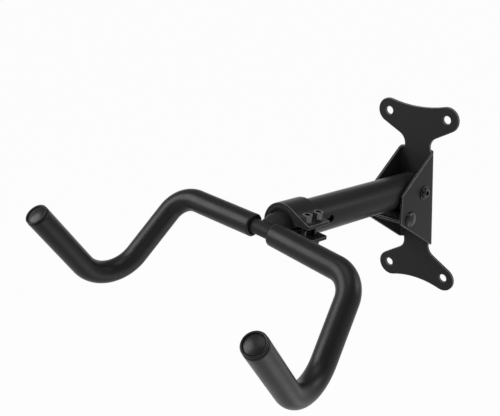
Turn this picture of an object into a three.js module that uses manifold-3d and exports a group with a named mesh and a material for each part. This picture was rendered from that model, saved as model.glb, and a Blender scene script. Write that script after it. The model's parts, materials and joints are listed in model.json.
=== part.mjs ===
// Folding bicycle wall rack: a sheet-steel wall bracket, an arm that folds up beside the wall, and a
// foam-covered twin hook that turns in the end of the arm and is held there by a split clamp.
//
// Millimetres and degrees. +X points right along the wall, +Y into the wall and +Z up. The origin is on
// the bracket's back face, at the centre of its four wall holes.

import * as THREE from 'three';
import { mergeVertices } from 'three/addons/utils/BufferGeometryUtils.js';
import Module from 'manifold-3d';

const wasm = await Module();
wasm.setup();

const rad = THREE.MathUtils.degToRad;

// ---- clearances ------------------------------------------------------------------------------------
const seatGap = 0.15;            // between a fastener and the face it is tightened on
const boltClearance = 0.3;       // around a bolt, pin or sleeve in its hole, per side
const restClearance = 0.3;       // between the lowered arm and its bumper
const weldGap = 0.3;             // between a welded piece and the piece that carries it
const tubeClearance = 0.3;       // between tubes that fit inside each other, per side

// ---- wall bracket ----------------------------------------------------------------------------------
const sheet = 3;
const wallHoleSpacingX = 82.5;
const wallHoleSpacingZ = 210;
const wallHoleDiameter = 10;
const cheekClearance = 2;        // between the arm tube and each cheek
const earFillet = 14.4;          // concave corner where an ear runs into the neck
const upperEar = { radius: 15.9, inset: 0, drop: 0, middle: 10.8, slope: 28 };
const lowerEar = { radius: 16.2, inset: 1, drop: 1.5, middle: 11.3, slope: 31.4 };
const bendRadius = 3.8;          // inside radius of the two folds
const cheekTop = 63.3;
const cheekBottom = -61.5;
const cheekReach = 69.3;         // the cheeks' lower front corner, in front of the plate
const cheekFront = { lean: 3.3, top: 25, bottom: -10.5 };
const cheekSlopeStart = { upper: -0.6, lower: 2.4 };   // in front of the plate
const cheekCornerRadius = 2;
const cheekRootRadius = 1;

// ---- pivot and rest --------------------------------------------------------------------------------
const pivotHeight = 15.65;
const pivotBoltDiameter = 8;
const pivotHead = { diameter: 17.4, height: 5, flange: 1.4, button: 13.2, socket: 5, socketDepth: 3.1 };
const pivotSleeveDiameter = 14;
const pivotWasher = { diameter: 17, thickness: 1 };
const bracketNut = { width: 13, height: 8, insert: 9.4 };
const insertDepth = 0.9;         // a lock nut's nylon ring below its rim
const boltTail = 2;              // thread showing past a bracket nut
const edgeBreak = 0.4;           // on the edges of turned heads
const hexChamferAngle = 30;
const hexChamferShare = 0.8;     // of the corners' height over the flats
const restReach = 25.55;         // rest bolt along the arm, measured from the pivot
const restSleeveDiameter = 17.6;
const restBoltDiameter = 8;
const restHead = { diameter: 19.6, height: 4.4, rim: 0.3 };
const braceDepth = 5.1;
const braceGap = 0.4;            // between the rest bumper and the brace in front of it

// ---- arm -------------------------------------------------------------------------------------------
const armPitch = 8;              // the lowered arm points this far above level
const armReach = 235.5;          // pivot to the open end of the tube
const armDiameter = 40;
const armWall = 2;
const armRearRound = 0.5;        // the rear corners' radius about the pivot, over the tube's own
const armRearFlat = 0.9;         // the flat rear end inside that radius
const armRearClearance = 0.74;   // from that radius to the bracket plate
const slitWidth = 3;
const slitLength = 61;
const slitHoleDiameter = 8;

// ---- clamp -----------------------------------------------------------------------------------------
const clampTilt = 5;             // the clamp's bolts lean this far about the arm
const bandWidth = 36;
const bandThickness = 4;
const upperTab = { margin: 9.1, top: 10.2 };    // margin from the bolt axes to the tab's edge
const lowerTab = { margin: 8.6, top: -7.4 };
const tabThickness = 3.8;
const tabCorners = { front: 1, rear: 4.5 };
const gussetThickness = 2;
const clampBoltDiameter = 6;
const washerClearance = 0.25;    // from a clamp washer's edge to the ring and to the gusset
const clampBoltSpacing = 17.3;
const clampBoltHead = { width: 10, height: 4 };
const clampWasher = { diameter: 11, thickness: 1.6 };
const clampNut = { width: 10, height: 7.4, insert: 7.3 };
const clampBoltRecess = 2;       // bolt end below the nut's top

// ---- hook ------------------------------------------------------------------------------------------
const hookTilt = 6.57;           // the hook is set this far out of level about the arm
const hookOverhang = 25.1;       // the crossbar in front of the tube's open end
const bushWall = 2.65;
const stubWall = 2.5;
const stubLength = 80;
const stubBoreEnd = 24;
const stubNose = { taper: 17, end: 0.8, halfWidth: 10.3, halfHeight: 8.5 };
const noseShoulder = { wide: [0.73, 0.83], high: [0.53, 0.94] };   // shares of its taper and radius
const bushLength = 42;
const bushSetback = 1;
const barDiameter = 16;
const barWall = 1.5;
const crossbarHalf = { x: 122.6, y: -3.9, z: -2.6 };
const hookLow = { x: 145.6, y: -82.5, z: -111.4 };
const hookTip = { x: 152.7, y: -174.7, z: -2.6 };
const crossbarBow = 300;         // radius at the middle of the crossbar
const shoulderRadius = 30;
const hookRadius = 42;
const foamWall = 4.5;
const foamTuck = { left: 0.45, right: 1.35 };   // inner ends inside the stub's radius, beside its nose
const foamSetback = 0.2;         // bar end past the foam
const capHead = { inset: 0.3, thickness: 0.9, dome: 1.7 };   // inset from the foam's outside
const capStemLength = 12;

// ---- facets ----------------------------------------------------------------------------------------
const tubeSides = 60;
const stubSides = 48;
const headSides = 36;
const sleeveSides = 32;
const rodSides = 18;
const boltSides = 20;
const boreSides = 12;
const bendStep = 10;             // degrees of bend between two rings of a bent rod
const foldStep = 9;              // degrees between two points of a folded edge
const noseRings = 10;
const bandStep = 5.6;            // degrees between two points of the clamp's ring

// ---- materials -------------------------------------------------------------------------------------
const black = (roughness, metalness, color = 0x1c1c1d) =>
  new THREE.MeshStandardMaterial({ color, roughness, metalness });
const powderCoat = black(0.55, 0.1);
const blackZinc = black(0.35, 0.8, 0x222224);
const rubber = black(0.8, 0, 0x161616);
const nylon = black(0.5, 0, 0x2a2a2a);
const foam = black(0.85, 0, 0x242425);
const plastic = black(0.4, 0, 0x151516);

// ---- solids ----------------------------------------------------------------------------------------
function toSolid(geometry) {
  const plain = geometry.clone();
  for (const name of Object.keys(plain.attributes)) if (name !== 'position') plain.deleteAttribute(name);
  const merged = mergeVertices(plain, 1e-4);
  return new wasm.Manifold(new wasm.Mesh({
    numProp: 3,
    vertProperties: new Float32Array(merged.attributes.position.array),
    triVerts: new Uint32Array(merged.index.array),
  }));
}

function toGeometry(solid) {
  const { numProp, vertProperties, triVerts } = solid.getMesh();
  const geometry = new THREE.BufferGeometry();
  const positions = new Float32Array((vertProperties.length / numProp) * 3);
  for (let i = 0; i < positions.length / 3; i += 1) {
    positions.set(vertProperties.subarray(i * numProp, i * numProp + 3), i * 3);
  }
  geometry.setAttribute('position', new THREE.BufferAttribute(positions, 3));
  geometry.setIndex(new THREE.BufferAttribute(new Uint32Array(triVerts), 1));
  geometry.computeVertexNormals();
  return geometry;
}

const join = (...geometries) => toGeometry(geometries.map(toSolid).reduce((sum, next) => sum.add(next)));
const cut = (base, ...tools) =>
  toGeometry(tools.map(toSolid).reduce((rest, tool) => rest.subtract(tool), toSolid(base)));
const common = (...geometries) =>
  toGeometry(geometries.map(toSolid).reduce((kept, next) => kept.intersect(next)));

function extrude(outline, depth, holes) {
  const shape = new THREE.Shape(outline);
  shape.holes = holes.map((hole) => new THREE.Path(hole));
  return new THREE.ExtrudeGeometry(shape, { depth, bevelEnabled: false });
}

const axisX = new THREE.Vector3(1, 0, 0);
const axisY = new THREE.Vector3(0, 1, 0);
const axisZ = new THREE.Vector3(0, 0, 1);
const alongYBasis = new THREE.Matrix4().makeBasis(axisX, axisZ, axisY.clone().negate());
const alongXBasis = new THREE.Matrix4().makeBasis(axisY, axisZ, axisX);

// Extrudes an outline drawn in X and Z along Y, one drawn in Y and Z along X, or one in X and Y along Z.
const alongY = (outline, from, to, holes = []) =>
  extrude(outline, to - from, holes).applyMatrix4(alongYBasis).translate(0, to, 0);
const alongX = (outline, from, to, holes = []) =>
  extrude(outline, to - from, holes).applyMatrix4(alongXBasis).translate(from, 0, 0);
const alongZ = (outline, from, to, holes = []) => extrude(outline, to - from, holes).translate(0, 0, from);

const point = (x, y) => new THREE.Vector2(x, y);

function arc(x, y, radius, from, to, step = 7.5) {
  const count = Math.max(2, Math.ceil(Math.abs(to - from) / step));
  return Array.from({ length: count + 1 }, (_, i) => {
    const angle = rad(from + ((to - from) * i) / count);
    return point(x + radius * Math.cos(angle), y + radius * Math.sin(angle));
  });
}

// A polygon whose corners are rounded: each corner is [x, y, radius].
function rounded(corners) {
  return corners.flatMap(([x, y, radius = 0], i) => {
    if (!radius) return [point(x, y)];
    const here = point(x, y);
    const before = corners[(i + corners.length - 1) % corners.length];
    const after = corners[(i + 1) % corners.length];
    const back = point(before[0], before[1]).sub(here).normalize();
    const ahead = point(after[0], after[1]).sub(here).normalize();
    const half = Math.acos(THREE.MathUtils.clamp(back.dot(ahead), -1, 1)) / 2;
    const start = here.clone().addScaledVector(back, radius / Math.tan(half));
    const curve = new THREE.QuadraticBezierCurve(
      start, here, here.clone().addScaledVector(ahead, radius / Math.tan(half)));
    return curve.getPoints(5);
  });
}

const circle = (x, y, radius, sides) => arc(x, y, radius, 0, 360, 360 / sides).slice(0, -1);
const rodX = (radius, from, to, y = 0, z = 0, sides = boltSides) =>
  alongX(circle(y, z, radius, sides), from, to);
const rodY = (radius, from, to, sides) => alongY(circle(0, 0, radius, sides), from, to);
const rodZ = (radius, from, to) => alongZ(circle(0, 0, radius, boltSides), from, to);
const ring = (outer, inner, length, sides = sleeveSides) =>
  alongZ(circle(0, 0, outer, sides), 0, length, [circle(0, 0, inner, sides)]);

// A turned body about Z. The profile runs from the axis back to the axis.
function turned(profile) {
  const points = profile.map(([radius, height]) => point(radius, height));
  return new THREE.LatheGeometry(points, headSides).rotateX(rad(90));
}

// A quarter of an ellipse, as profile points from its rim up and in to its crown.
const dome = (rim, rimHeight, crown, crownHeight) => arc(0, 0, 1, 0, 90, 15)
  .map(({ x, y }) => [crown + (rim - crown) * x, rimHeight + (crownHeight - rimHeight) * y]);

// A bent rod's centre line. Its equal steps fall on the two ends and along the bends, so that the
// straights take one step each and the bends stay round.
class RodPath extends THREE.Curve {
  constructor(corners, radii) {
    super();
    const first = corners[0];
    const last = corners[corners.length - 1];
    this.stations = [{ at: first, along: corners[1].clone().sub(first).normalize() }];
    radii.forEach((radius, i) => {
      const corner = corners[i + 1];
      const into = corner.clone().sub(corners[i]).normalize();
      const out = corners[i + 2].clone().sub(corner).normalize();
      const turn = into.angleTo(out);
      const inward = out.clone().addScaledVector(into, -Math.cos(turn)).normalize();
      const start = corner.clone().addScaledVector(into, -radius * Math.tan(turn / 2));
      const count = Math.max(2, Math.ceil(turn / rad(bendStep)));
      for (let k = 0; k <= count; k += 1) {
        const angle = (turn * k) / count;
        this.stations.push({
          at: start.clone().addScaledVector(into, radius * Math.sin(angle))
            .addScaledVector(inward, radius * (1 - Math.cos(angle))),
          along: into.clone().multiplyScalar(Math.cos(angle)).addScaledVector(inward, Math.sin(angle)),
        });
      }
    });
    const before = corners[corners.length - 2];
    this.stations.push({ at: last, along: last.clone().sub(before).normalize() });
    this.steps = this.stations.length - 1;
  }

  getPointAt(u) {
    return this.stations[Math.round(u * this.steps)].at.clone();
  }

  getTangentAt(u) {
    return this.stations[Math.round(u * this.steps)].along.clone();
  }
}

function rod(path, radius, sides = rodSides) {
  return new THREE.ExtrudeGeometry(new THREE.Shape(circle(0, 0, radius, sides)), {
    steps: path.steps, extrudePath: path,
  });
}

// ---- scene -----------------------------------------------------------------------------------------
const rack = new THREE.Group();
const arm = new THREE.Group();
const clamp = new THREE.Group();
const hook = new THREE.Group();
rack.add(arm);
arm.add(clamp, hook);

const armRadius = armDiameter / 2;
const armBore = armRadius - armWall;
const armRearRadius = armRadius + armRearRound;
const pivotReach = armRearRadius + armRearClearance;

// In the arm's own frame the pivot is the origin, the arm runs along -Y and its top faces +Z.
arm.position.set(0, -sheet - pivotReach, pivotHeight);
arm.rotation.x = -rad(armPitch);
clamp.rotation.y = rad(clampTilt);
hook.position.set(0, -armReach - hookOverhang, 0);
hook.rotation.y = rad(hookTilt);

function add(parent, name, geometry, material) {
  const mesh = new THREE.Mesh(geometry, material);
  mesh.name = name;
  parent.add(mesh);
  return mesh;
}

// ---- wall bracket ----------------------------------------------------------------------------------
const cheekInner = armRadius + cheekClearance;
const cheekOuter = cheekInner + sheet;
const neckHalfWidth = cheekInner - bendRadius;
const pivotBore = pivotBoltDiameter / 2 + boltClearance;
const restBore = restBoltDiameter / 2 + boltClearance;
const restDrop = armRadius + restClearance + restSleeveDiameter / 2;

// One side of an ear, from the neck round to the middle of the plate's end; the sign says which end.
function earEdge(ear, sign) {
  const centre = point(wallHoleSpacingX / 2 - ear.inset, wallHoleSpacingZ / 2 + ear.drop);
  const slope = rad(ear.slope);
  const under = centre.clone().add(point(Math.sin(slope), -Math.cos(slope)).multiplyScalar(ear.radius));
  const filletX = neckHalfWidth + earFillet;
  const filletZ = under.y + ((filletX - under.x) * Math.sin(slope) - earFillet) / Math.cos(slope);
  const middle = ear.middle - ear.drop;
  const hollow = (middle ** 2 + centre.x ** 2 - ear.radius ** 2) / (2 * (ear.radius - middle));
  const hollowZ = centre.y + middle + hollow;
  const leave = THREE.MathUtils.radToDeg(Math.atan2(hollowZ - centre.y, -centre.x));
  const edge = [
    ...arc(filletX, filletZ, earFillet, 180, 90 + ear.slope),
    ...arc(centre.x, centre.y, ear.radius, ear.slope - 90, leave),
    ...arc(0, hollowZ, hollow, leave - 180, -90, 4).slice(1),
  ];
  return edge.map(({ x, y }) => point(x, sign * y));
}

function plateGeometry() {
  const rightEdge = [...earEdge(lowerEar, -1).reverse(), ...earEdge(upperEar, 1)];
  const leftEdge = rightEdge.slice(1, -1).map(({ x, y }) => point(-x, y)).reverse();
  const holes = [1, -1].flatMap((sideX) => [1, -1].map((sideZ) => circle(
    (sideX * wallHoleSpacingX) / 2, (sideZ * wallHoleSpacingZ) / 2, wallHoleDiameter / 2, sleeveSides)));
  return alongY([...rightEdge, ...leftEdge], -sheet, 0, holes);
}

// The folded channel: a U of constant section, cut to the cheeks' side view.
function channelGeometry() {
  const foldY = -(bendRadius + sheet);
  const farY = -sheet - cheekReach - 1;
  const section = [
    point(-cheekOuter, farY),
    point(-cheekInner, farY),
    ...arc(-neckHalfWidth, foldY, bendRadius, 180, 90, foldStep),
    ...arc(neckHalfWidth, foldY, bendRadius, 90, 0, foldStep),
    point(cheekInner, farY),
    point(cheekOuter, farY),
    ...arc(neckHalfWidth, foldY, bendRadius + sheet, 0, 90, foldStep),
    ...arc(-neckHalfWidth, foldY, bendRadius + sheet, 90, 180, foldStep),
  ];
  const sideView = rounded([
    [0, cheekTop],
    [-sheet - cheekSlopeStart.upper, cheekTop, cheekRootRadius],
    [-sheet - cheekReach + cheekFront.lean, cheekFront.top, cheekCornerRadius],
    [-sheet - cheekReach, cheekFront.bottom, cheekCornerRadius],
    [-sheet - cheekSlopeStart.lower, cheekBottom, cheekRootRadius],
    [0, cheekBottom],
  ]);
  return common(
    alongZ(section, cheekBottom - 1, cheekTop + 1),
    alongX(sideView, -cheekOuter - 1, cheekOuter + 1));
}

// A point given along and across the arm, in the bracket's frame.
function fromArm(along, up) {
  const { y, z } = new THREE.Vector3(0, -along, up).applyEuler(arm.rotation).add(arm.position);
  return point(y, z);
}

const restPlace = fromArm(restReach, -restDrop);

const square = (x, y, half) =>
  [[1, 1], [-1, 1], [-1, -1], [1, -1]].map(([a, b]) => point(x + a * half, y + b * half));

function bracketGeometry() {
  return cut(
    join(plateGeometry(), channelGeometry()),
    rodX(pivotBore, -cheekOuter - 1, cheekOuter + 1, arm.position.y, arm.position.z),
    rodX(restBore, -cheekOuter - 1, 0, restPlace.x, restPlace.y),
    alongX(square(restPlace.x, restPlace.y, restBore), 0, cheekOuter + 1));
}

function braceGeometry() {
  const rear = restReach + restSleeveDiameter / 2 + braceGap;
  const outline = [
    fromArm(rear, -restDrop - sheet),
    fromArm(rear + braceDepth, -restDrop - sheet),
    fromArm(rear + braceDepth, -restDrop),
    fromArm(rear, -restDrop),
  ].reverse();
  return alongX(outline, -cheekInner + weldGap, cheekInner - weldGap);
}

// ---- fasteners -------------------------------------------------------------------------------------
// Each is made about its own Z axis, with the face that it is tightened on at zero.

// A hexagonal prism whose corners are turned off at its lower end, and at its upper end too for a nut.
function chamferedHexagon(width, from, to, upperEnd) {
  const corner = width / Math.sqrt(3);
  const flat = corner - (corner - width / 2) * hexChamferShare;
  const drop = (corner - flat) * Math.tan(rad(hexChamferAngle));
  const top = upperEnd ? [[corner, to - drop], [flat, to]] : [[corner, to]];
  const blank = turned([[0, from], [flat, from], [corner, from + drop], ...top, [0, to]]);
  return common(alongZ(circle(0, 0, corner, 6), from, to), blank);
}

function nutGeometry({ width, height, insert }, bore) {
  const insertSeat = rodZ(insert / 2, height - insertDepth, height + 1);
  return cut(chamferedHexagon(width, 0, height, true), rodZ(bore, -1, height + 1), insertSeat);
}

function hexBoltGeometry({ width, height }, diameter, length) {
  return join(chamferedHexagon(width, -height, 0, false), rodZ(diameter / 2, -1, length));
}

function pivotBoltGeometry(length) {
  const { diameter, height, flange, button, socket, socketDepth } = pivotHead;
  const rim = diameter / 2;
  const crown = dome(button / 2, flange, button / 4, height);
  const head = turned([[0, 0], [rim - edgeBreak, 0], [rim, edgeBreak], [rim, flange - edgeBreak],
    [rim - edgeBreak, flange], ...crown, [0, height]]);
  const socketTool = alongZ(circle(0, 0, socket / Math.sqrt(3), 6), height - socketDepth, height + 1);
  return join(cut(head, socketTool), rodZ(pivotBoltDiameter / 2, -length, 1));
}

// A carriage bolt: its square neck stops it turning in the cheek.
function carriageBoltGeometry(length) {
  const rim = restHead.diameter / 2;
  const crown = dome(rim, restHead.rim, 0, restHead.height);
  const neck = alongZ(square(0, 0, restBoltDiameter / 2), -sheet, 1);
  return join(turned([[0, 0], [rim, 0], ...crown]), neck, rodZ(restBoltDiameter / 2, -length, 1 - sheet));
}

// ---- arm tube and clamp ----------------------------------------------------------------------------
const bushRadius = armBore - tubeClearance;
const bandBore = armRadius + tubeClearance;
const bandRadius = bandBore + bandThickness;
const bandRear = armReach - bandWidth;
const clampBoltSpace = clampWasher.diameter / 2 + washerClearance;
const clampBoltReach = Math.sqrt(bandRadius ** 2 - upperTab.top ** 2) + clampBoltSpace;
const upperTabReach = clampBoltReach + upperTab.margin;
const lowerTabReach = clampBoltReach + lowerTab.margin;
const upperTabBottom = upperTab.top - tabThickness;
const lowerTabBottom = lowerTab.top - tabThickness;
const clampBoltPlace = (i) => armReach - gussetThickness - clampBoltSpace - i * clampBoltSpacing;

// The cutter for the slit in the arm's right side, and for the one in the bush behind it.
const slitCutter = (from, to, front, length) => new THREE.BoxGeometry(to - from, length, slitWidth)
  .translate((from + to) / 2, length / 2 - front, 0);

function armTubeGeometry() {
  const over = 1;
  const tube = alongY(circle(0, 0, armRadius, tubeSides), -armReach, armRearRadius - armRearFlat,
    [circle(0, 0, armBore, tubeSides)]);
  const rearShape = join(
    rodX(armRearRadius, -armDiameter, armDiameter, 0, 0, 2 * stubSides),
    new THREE.BoxGeometry(2 * armDiameter, armReach + over, 2 * armDiameter)
      .translate(0, -(armReach + over) / 2, 0));
  const slit = slitCutter(armBore / 2, armDiameter, armReach + over, slitLength + over);
  const slitHole = rodX(slitHoleDiameter / 2, armBore / 2, armDiameter, slitLength - armReach);
  const sleeveHole = rodX(pivotSleeveDiameter / 2 + boltClearance, -armDiameter, armDiameter);
  return cut(common(tube, rearShape), slit, slitHole, sleeveHole);
}

// A ring that opens on the right between two tabs, seen along the arm.
function bandSection() {
  const angle = (height, radius) => THREE.MathUtils.radToDeg(Math.asin(height / radius));
  const outside = arc(0, 0, bandRadius,
    angle(upperTab.top, bandRadius), 360 + angle(lowerTabBottom, bandRadius), bandStep);
  const inside = arc(0, 0, bandBore,
    360 + angle(lowerTab.top, bandBore), angle(upperTabBottom, bandBore), bandStep);
  return [
    point(upperTabReach, upperTabBottom), point(upperTabReach, upperTab.top), ...outside,
    point(lowerTabReach, lowerTabBottom), point(lowerTabReach, lowerTab.top), ...inside,
  ];
}

// The web at the band's front edge, straight from the upper tab's tip to where it touches the ring.
function gussetOutline() {
  const tip = point(upperTabReach, upperTab.top);
  const touch = Math.atan2(tip.y, tip.x) + Math.acos(bandRadius / tip.length());
  const onRing = (radius, angle) => point(radius * Math.cos(angle), radius * Math.sin(angle));
  return [
    tip,
    onRing(bandRadius, touch),
    onRing(bandRadius - bandThickness / 2, Math.asin(upperTab.top / bandRadius)),
    point(upperTabReach, upperTab.top - tabThickness / 2),
  ];
}

function bandGeometry() {
  const tall = bandRadius + 1;
  const plan = rounded([
    [-tall, -armReach],
    [upperTabReach, -armReach, tabCorners.front],
    [upperTabReach, -bandRear, tabCorners.rear],
    [-tall, -bandRear],
  ]);
  const bores = [0, 1].map((i) => rodZ(clampBoltDiameter / 2 + boltClearance, -tall, tall)
    .translate(clampBoltReach, -clampBoltPlace(i), 0));
  const blank = join(
    alongY(bandSection(), -armReach, -bandRear),
    alongY(gussetOutline(), -armReach, gussetThickness - armReach));
  return cut(common(blank, alongZ(plan, -tall, tall)), ...bores);
}

function bushGeometry() {
  const front = armReach - bushSetback;
  const tube = alongY(circle(0, 0, bushRadius, tubeSides), -front, bushLength - front,
    [circle(0, 0, bushRadius - bushWall, tubeSides)]);
  return cut(tube, slitCutter(bushRadius / 2, armDiameter, front + 1, bushLength + 2));
}

// ---- hook ------------------------------------------------------------------------------------------
const corner = ({ x, y, z }, side) => new THREE.Vector3(side * x, y, z);
const tipDirection = (side) => corner(hookTip, side).sub(corner(hookLow, side)).normalize();
const barEnd = (side, setback) => corner(hookTip, side).addScaledVector(tipDirection(side), -setback);
const capLength = capHead.thickness + capHead.dome + seatGap;
const barRadius = barDiameter / 2;
const foamRadius = barRadius + foamWall;
const stubRadius = bushRadius - bushWall - tubeClearance;

// From the left tip over the middle of the crossbar to the right tip.
const barPathWith = (setback) => new RodPath(
  [barEnd(-1, setback), corner(hookLow, -1), corner(crossbarHalf, -1), new THREE.Vector3(),
    corner(crossbarHalf, 1), corner(hookLow, 1), barEnd(1, setback)],
  [hookRadius, shoulderRadius, crossbarBow, shoulderRadius, hookRadius]);
const barPath = barPathWith(capLength);
const barSpace = rod(barPath, barRadius + tubeClearance);

// The bore's path is carried on past both ends of the bar, so that it is open there.
function barGeometry() {
  return cut(rod(barPath, barRadius), rod(barPathWith(capLength - 1), barRadius - barWall, boreSides));
}

function foamGeometry(side, tuck) {
  const from = corner(crossbarHalf, side).multiplyScalar((stubRadius - tuck) / crossbarHalf.x);
  const path = new RodPath(
    [from, corner(crossbarHalf, side), corner(hookLow, side), barEnd(side, capLength + foamSetback)],
    [shoulderRadius, hookRadius]);
  return cut(rod(path, foamRadius), barSpace);
}

// A round tube that is pinched to an oval where it meets the bar, lofted from the bar back.
function stubGeometry() {
  const { taper, end, halfWidth, halfHeight } = stubNose;
  const outline = ([along, out], tip) => new THREE.QuadraticBezierCurve(
    point(taper, stubRadius), point(taper * along, stubRadius * out), point(end, tip));
  const wide = outline(noseShoulder.wide, halfWidth);
  const high = outline(noseShoulder.high, halfHeight);
  const nose = new THREE.CylinderGeometry(1, 1, noseRings, stubSides, noseRings);
  const places = nose.attributes.position;
  for (let i = 0; i < places.count; i += 1) {
    const share = 0.5 - places.getY(i) / noseRings;
    const { x: along, y: height } = high.getPoint(share);
    places.setXYZ(i, places.getX(i) * wide.getPoint(share).y, along, places.getZ(i) * height);
  }
  const tube = rodY(stubRadius, taper - 0.5, stubLength, stubSides);
  const bore = rodY(stubRadius - stubWall, stubBoreEnd, stubLength + 1, stubSides);
  return cut(join(nose, tube), bore, barSpace);
}

function capGeometry() {
  const rim = foamRadius - capHead.inset;
  const stem = barRadius - barWall - tubeClearance;
  return turned([
    [0, -capStemLength], [stem - edgeBreak, -capStemLength], [stem, edgeBreak - capStemLength], [stem, 0],
    [rim - edgeBreak, 0], [rim, edgeBreak], [rim, capHead.thickness - edgeBreak],
    ...dome(rim - edgeBreak, capHead.thickness, 0, capHead.thickness + capHead.dome),
  ]);
}

// ---- assembly --------------------------------------------------------------------------------------
// Turns a piece made about Z so that its axis points along the direction, and puts it in place.
function place(mesh, position, direction) {
  mesh.position.copy(position);
  mesh.quaternion.setFromUnitVectors(axisZ, direction);
  return mesh;
}

const right = axisX;
const left = axisX.clone().negate();
const headSeat = cheekOuter + seatGap;
const bracketBoltLength = headSeat + cheekOuter + seatGap + bracketNut.height + boltTail;
const onPivot = (x) => new THREE.Vector3(x, arm.position.y, arm.position.z);
const onRest = (x) => new THREE.Vector3(x, restPlace.x, restPlace.y);

add(rack, 'wall_bracket', bracketGeometry(), powderCoat);
add(rack, 'bracket_brace', braceGeometry(), powderCoat);
place(add(rack, 'pivot_bolt', pivotBoltGeometry(bracketBoltLength), blackZinc), onPivot(headSeat), right);
place(add(rack, 'pivot_nut', nutGeometry(bracketNut, pivotBore), blackZinc), onPivot(-headSeat), left);
place(add(rack, 'rest_bolt', carriageBoltGeometry(bracketBoltLength), blackZinc), onRest(headSeat), right);
place(add(rack, 'rest_nut', nutGeometry(bracketNut, restBore), blackZinc), onRest(-headSeat), left);

const bumperHalf = cheekInner - weldGap;
place(add(rack, 'rest_bumper', ring(restSleeveDiameter / 2, restBore, 2 * bumperHalf), rubber),
  onRest(-bumperHalf), right);

const pivotWasherSeat = cheekInner - seatGap - pivotWasher.thickness;
for (const [direction, x, where] of [[left, -pivotWasherSeat, 'left'], [right, pivotWasherSeat, 'right']]) {
  const washer = ring(pivotWasher.diameter / 2, pivotBore, pivotWasher.thickness);
  place(add(rack, `pivot_washer_${where}`, washer, nylon), onPivot(x), direction);
}

const pivotSleeveHalf = pivotWasherSeat - seatGap;
add(arm, 'arm_tube', armTubeGeometry(), powderCoat);
place(add(arm, 'pivot_sleeve', ring(pivotSleeveDiameter / 2, pivotBore, 2 * pivotSleeveHalf), blackZinc),
  new THREE.Vector3(-pivotSleeveHalf, 0, 0), right);
add(arm, 'swivel_bush', bushGeometry(), nylon);
add(clamp, 'clamp_band', bandGeometry(), powderCoat);

const clampHeadSeat = lowerTabBottom - seatGap;
const clampWasherSeat = upperTab.top + seatGap;
const clampNutSeat = clampWasherSeat + clampWasher.thickness + seatGap;
const clampBoltLength = clampNutSeat + clampNut.height - clampBoltRecess - clampHeadSeat;
const clampBore = clampBoltDiameter / 2 + boltClearance;
['front', 'rear'].forEach((where, i) => {
  const bolt = hexBoltGeometry(clampBoltHead, clampBoltDiameter, clampBoltLength);
  const washer = ring(clampWasher.diameter / 2, clampBore, clampWasher.thickness);
  const pieces = [
    ['bolt', bolt, clampHeadSeat],
    ['washer', washer, clampWasherSeat],
    ['nut', nutGeometry(clampNut, clampBore), clampNutSeat],
  ];
  for (const [kind, geometry, height] of pieces) {
    add(clamp, `clamp_${kind}_${where}`, geometry, blackZinc)
      .position.set(clampBoltReach, -clampBoltPlace(i), height);
  }
});

add(hook, 'hook_bar', barGeometry(), powderCoat);
add(hook, 'hook_stub', stubGeometry(), powderCoat);
for (const [side, where] of [[-1, 'left'], [1, 'right']]) {
  add(hook, `foam_${where}`, foamGeometry(side, foamTuck[where]), foam);
  place(add(hook, `end_cap_${where}`, capGeometry(), plastic),
    barEnd(side, capLength - seatGap), tipDirection(side));
}

export default rack;
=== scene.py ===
"""Bicycle wall rack: a folded sheet bracket, a folding arm and a turning, foam-covered twin hook.

The frame gives the nodes that the pieces stand for, and the joints. This file adds the fine pieces, their
finishes and the stage. Lengths are in metres and angles in radians, unless a name says otherwise.
"""

import functools
import json
import math

import bmesh
import bpy
from bpy.props import FloatProperty, FloatVectorProperty, IntProperty, PointerProperty
from mathutils import Matrix, Vector


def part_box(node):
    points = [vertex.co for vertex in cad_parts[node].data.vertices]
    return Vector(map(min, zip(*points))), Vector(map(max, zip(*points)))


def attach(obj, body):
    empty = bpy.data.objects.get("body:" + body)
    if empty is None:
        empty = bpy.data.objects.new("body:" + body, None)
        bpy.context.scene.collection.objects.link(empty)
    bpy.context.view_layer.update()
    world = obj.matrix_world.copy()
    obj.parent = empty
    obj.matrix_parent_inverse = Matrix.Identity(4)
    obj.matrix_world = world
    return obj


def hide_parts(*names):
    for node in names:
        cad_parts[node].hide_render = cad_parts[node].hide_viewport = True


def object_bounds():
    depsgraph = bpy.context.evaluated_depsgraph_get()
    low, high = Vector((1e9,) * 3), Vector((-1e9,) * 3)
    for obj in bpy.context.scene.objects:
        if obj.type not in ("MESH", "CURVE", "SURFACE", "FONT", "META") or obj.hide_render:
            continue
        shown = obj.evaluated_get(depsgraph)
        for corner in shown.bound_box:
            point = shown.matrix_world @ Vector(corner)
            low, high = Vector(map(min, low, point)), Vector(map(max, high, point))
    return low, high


bl_info = {
    "name": "Bicycle wall rack",
    "version": (1, 0, 0),
    "blender": (4, 5, 0),
    "location": "View3D > Sidebar > Wall rack",
    "description": "Finishes a packed bicycle wall rack with fine pieces, materials and a stage",
    "category": "Object",
}

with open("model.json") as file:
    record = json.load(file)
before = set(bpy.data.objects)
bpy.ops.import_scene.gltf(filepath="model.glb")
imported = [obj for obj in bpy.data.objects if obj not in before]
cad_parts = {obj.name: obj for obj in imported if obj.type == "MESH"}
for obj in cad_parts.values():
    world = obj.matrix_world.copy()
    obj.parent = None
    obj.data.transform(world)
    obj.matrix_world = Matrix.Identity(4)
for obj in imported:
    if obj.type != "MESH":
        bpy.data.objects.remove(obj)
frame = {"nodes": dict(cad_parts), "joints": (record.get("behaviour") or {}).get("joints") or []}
CAD_BOX = [list(corner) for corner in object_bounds()]
NODES = frame["nodes"]
JOINTS = {joint["name"]: joint for joint in frame["joints"]}

MM = 0.001
RIGHT = Vector((1, 0, 0))
SIDES = {"left": -1, "right": 1}
ARM_AXIS = Vector(JOINTS["hook_tilt"]["axis"])
ARM_PITCH = math.asin(ARM_AXIS.z)
HOOK_ORIGIN = Vector(JOINTS["hook_tilt"]["pos_m"])

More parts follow.
